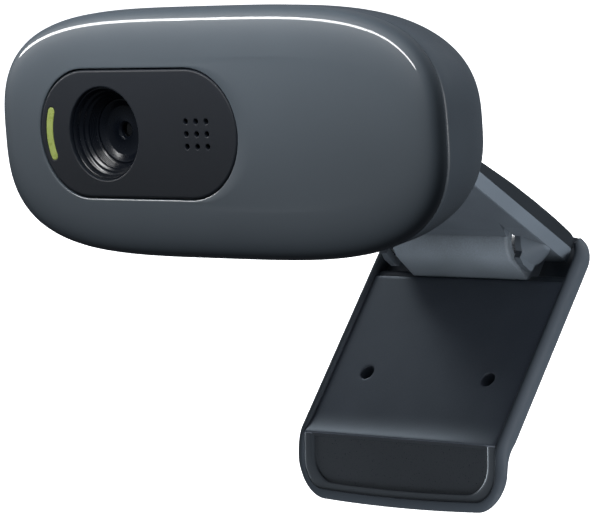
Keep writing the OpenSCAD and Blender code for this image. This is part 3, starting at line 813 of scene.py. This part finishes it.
def make_leg_back():
    """The ridge across the back, and the thin wall behind the arm's end."""
    s = Sheet()
    half, sides = BACK_RIDGE["half"], 24
    right = [(14, BACK_RIDGE["r"]), (16, 1.15), (half - 0.6, 1.0), (half - 0.2, 0.7), (half, 0.2)]
    stations = [(-x, r) for x, r in reversed(right)] + right
    s.skin([[(x, y, z) for y, z in arc(BACK_RIDGE["y"], BACK_RIDGE["z"], r, 0, 360, sides)[:-1]]
            for x, r in stations])
    wall = []
    for inset, z in ((2.0, -6.5), (1.7, -6.45), (1.5, -6.3), (1.45, -6.0), (1.45, -5.6)):
        half, high, r = LEG_HALF - inset, TOP_Y - inset + 1.15, 3.5
        right = [(half, -3.7)] + arc(half - r, high - r, r, 0, 90, 12)
        wall.append([(x, y, z) for x, y in right + [(-x, y) for x, y in reversed(right)]])
    made = s.skin(wall)
    s.cap(made[0])
    build("leg_back_ridge", s, LEG, "leg", "leg", [], sharp=50)


make_front_cover()
make_rear_shell()
make_bezel()
make_lens()
make_arm_pad()
make_leg_shell()
make_tip()
make_leg_panel()
make_knuckle()
make_leg_back()


# ---------------------------------------------------------------- camera, floor and light

CAMERA = {
    "lens": 206.67,
    "sensor": 36,
    "place": HEAD @ Vector((288.67, -318.93, 36.88)),
    "right": Vector((0.7618, 0.6439, -0.0704)),
    "forward": Vector((-0.6473, 0.7523, -0.1228)),
}


def aim_camera():
    """The photograph's view, solved from the head's outline."""
    data = bpy.data.cameras.new("camera")
    cam = bpy.data.objects.new("camera", data)
    scene.collection.objects.link(cam)
    scene.camera = cam
    data.sensor_width = CAMERA["sensor"]
    data.lens = CAMERA["lens"]
    data.dof.use_dof = False
    data.clip_start = 0.01
    data.clip_end = 20
    right = CAMERA["right"].normalized()
    forward = CAMERA["forward"].normalized()
    up = right.cross(forward).normalized()
    turn = Matrix((right, up, -forward)).transposed().to_4x4()
    cam.matrix_world = Matrix.Translation(MM * CAMERA["place"]) @ turn


def make_floor():
    """A pale floor a little under the object, which hangs free in the photograph."""
    low = cad_box[0][2]
    bpy.ops.mesh.primitive_plane_add(size=8, location=(0, 0, low - 0.0045))
    plane = bpy.context.object
    plane.name = "floor"
    plane.data.materials.append(surface("floor_pale", (0.86, 0.86, 0.87), 0.8, grain=60,
                                        vary=0.01, bump=0.02, blotch=3, spec=0.2,
                                        emission=(1, 1, 1), glow=1.1))
    plane.visible_shadow = False
    plane.visible_glossy = False
    plane.visible_diffuse = False


def make_world():
    """A studio dome: bright overhead, dimmer at the horizon and dark below."""
    world = bpy.data.worlds.new("world")
    scene.world = world
    world.use_nodes = True
    nds, lks = world.node_tree.nodes, world.node_tree.links
    coord = nds.new("ShaderNodeTexCoord").outputs["Generated"]
    split = nds.new("ShaderNodeSeparateXYZ")
    lks.new(coord, split.inputs[0])
    tones = nds.new("ShaderNodeValToRGB")
    below, above = tones.color_ramp.elements
    below.position = 0.30
    below.color = (0.052, 0.058, 0.067, 1)
    above.position = 1.0
    above.color = (0.40, 0.44, 0.50, 1)
    tones.color_ramp.elements.new(0.5).color = (0.12, 0.135, 0.155, 1)
    height = ramp(nds, lks, split.outputs["Z"], -1, 1, 0, 1)
    lks.new(height, tones.inputs["Fac"])
    background = nds["Background"]
    lks.new(tones.outputs["Color"], background.inputs["Color"])
    background.inputs["Strength"].default_value = 1.0


def area(name, place, size, watts, aim=(0, -0.02, 0), size_y=None, color=(1, 1, 1)):
    """A square or oblong lamp at place, turned to aim. Places are in metres."""
    data = bpy.data.lights.new(name, "AREA")
    data.size = size
    if size_y:
        data.shape = "RECTANGLE"
        data.size_y = size_y
    data.energy = watts
    data.color = color
    lamp = bpy.data.objects.new(name, data)
    scene.collection.objects.link(lamp)
    lamp.location = place
    lamp.rotation_euler = (Vector(aim) - Vector(place)).to_track_quat("-Z", "Y").to_euler()
    lamp.visible_camera = False
    return lamp


def strip(name, ends, width, watts, aim):
    """A long thin lamp between two points, facing aim."""
    a, b = Vector(ends[0]), Vector(ends[1])
    middle = (a + b) / 2
    lamp = area(name, middle, (b - a).length, watts, size_y=width)
    along = (b - a).normalized()
    across = (Vector(aim) - middle).normalized().cross(along).normalized()
    facing = along.cross(across).normalized()
    turn = Matrix((along, -across, -facing)).transposed().to_4x4()
    lamp.matrix_world = Matrix.Translation(middle) @ turn
    return lamp


def falls_only_on(lamp, names):
    """Keeps a lamp's light to the named pieces."""
    group = bpy.data.collections.new(lamp.name + "_pieces")
    for name in names:
        group.objects.link(nodes[name] if name in nodes else bpy.data.objects[name])
    lamp.light_linking.receiver_collection = group


def make_gloss_lamps():
    """Lamps that only show as gloss, each on the few pieces named with it."""
    bend_at = (-0.19, -0.464, 0.207)
    face_pieces = ["cover_plate", "bezel_insert", "led_light_pipe"]
    face_at, lens_at, clip_at = (0, -0.038, 0.02), (-0.018, -0.036, 0.013), (0.01, 0.013, -0.007)
    lamps = {
        strip("edge_strip", ((-0.51, -0.20, 0.135), bend_at), 0.04, 2.08, face_at): face_pieces,
        strip("corner_strip", (bend_at, (-0.05, -0.57, 0.15)), 0.04, 0.92, face_at): face_pieces,
        area("lens_light", (-0.018, -0.171, 0.28), 0.26, 1.1, lens_at, 0.06):
            ["lens_rings", "lens_barrel_front"],
        area("ridge_light", (-0.2, 0.07, 0.18), 0.1, 0.36, (0, -0.008, -0.03),
             color=(0.75, 0.88, 1.0)): ["grip_panel"],
        area("pin_light", (-0.19, -0.144, 0.149), 0.08, 1.5, clip_at):
            ["clip_washers", "clip_pin"],
        area("knuckle_light", (0.215, -0.137, 0.14), 0.12, 1.2, clip_at): ["hinge_knuckle"],
        area("tip_light", (-0.30, -0.03, -0.035), 0.12, 0.8, (0, -0.010, -0.033),
             color=(0.8, 0.9, 1.0)): ["tip_land", "tip_pad"],
    }
    for lamp, pieces in lamps.items():
        lamp.visible_diffuse = False
        falls_only_on(lamp, pieces)
    for name in ("pin_light", "tip_light"):
        bpy.data.lights[name].use_shadow = False


def make_soft_lamps():
    """Lamps that light without showing as gloss, and rim_light, which does both on the shell."""
    leg = ["leg_tray", "leg_back_ridge"]
    rim_light = area("rim_light", (0.42, -0.28, 0.0), 0.12, 2.4, (0.03, -0.03, 0.012))
    falls_only_on(rim_light, ["back_shell"])
    near_strip = strip("near_strip", ((-0.055, -0.0604, 0.038), (0.045, -0.0604, 0.038)), 0.012,
                       0.070, (-0.005, -0.038, 0.012))
    low_front = area("low_front", (0.16, -0.18, -0.28), 0.2, 1.9)
    falls_only_on(low_front, leg + ["tip_land", "tip_pad", "grip_panel", "hinge_knuckle",
                                    "arm_plate", "arm_cover", "grip_pad"])
    right_side = area("right_side", (0.42, 0.05, 0.0), 0.2, 2.4)
    falls_only_on(right_side, leg + ["arm_plate"])
    back_fill = area("back_fill", (0.12, 0.60, 0.35), 0.4, 7.0)
    for lamp in (near_strip, low_front, right_side, back_fill):
        lamp.visible_glossy = False


make_world()
scene.view_settings.view_transform = "Standard"
aim_camera()
make_floor()
make_gloss_lamps()
make_soft_lamps()
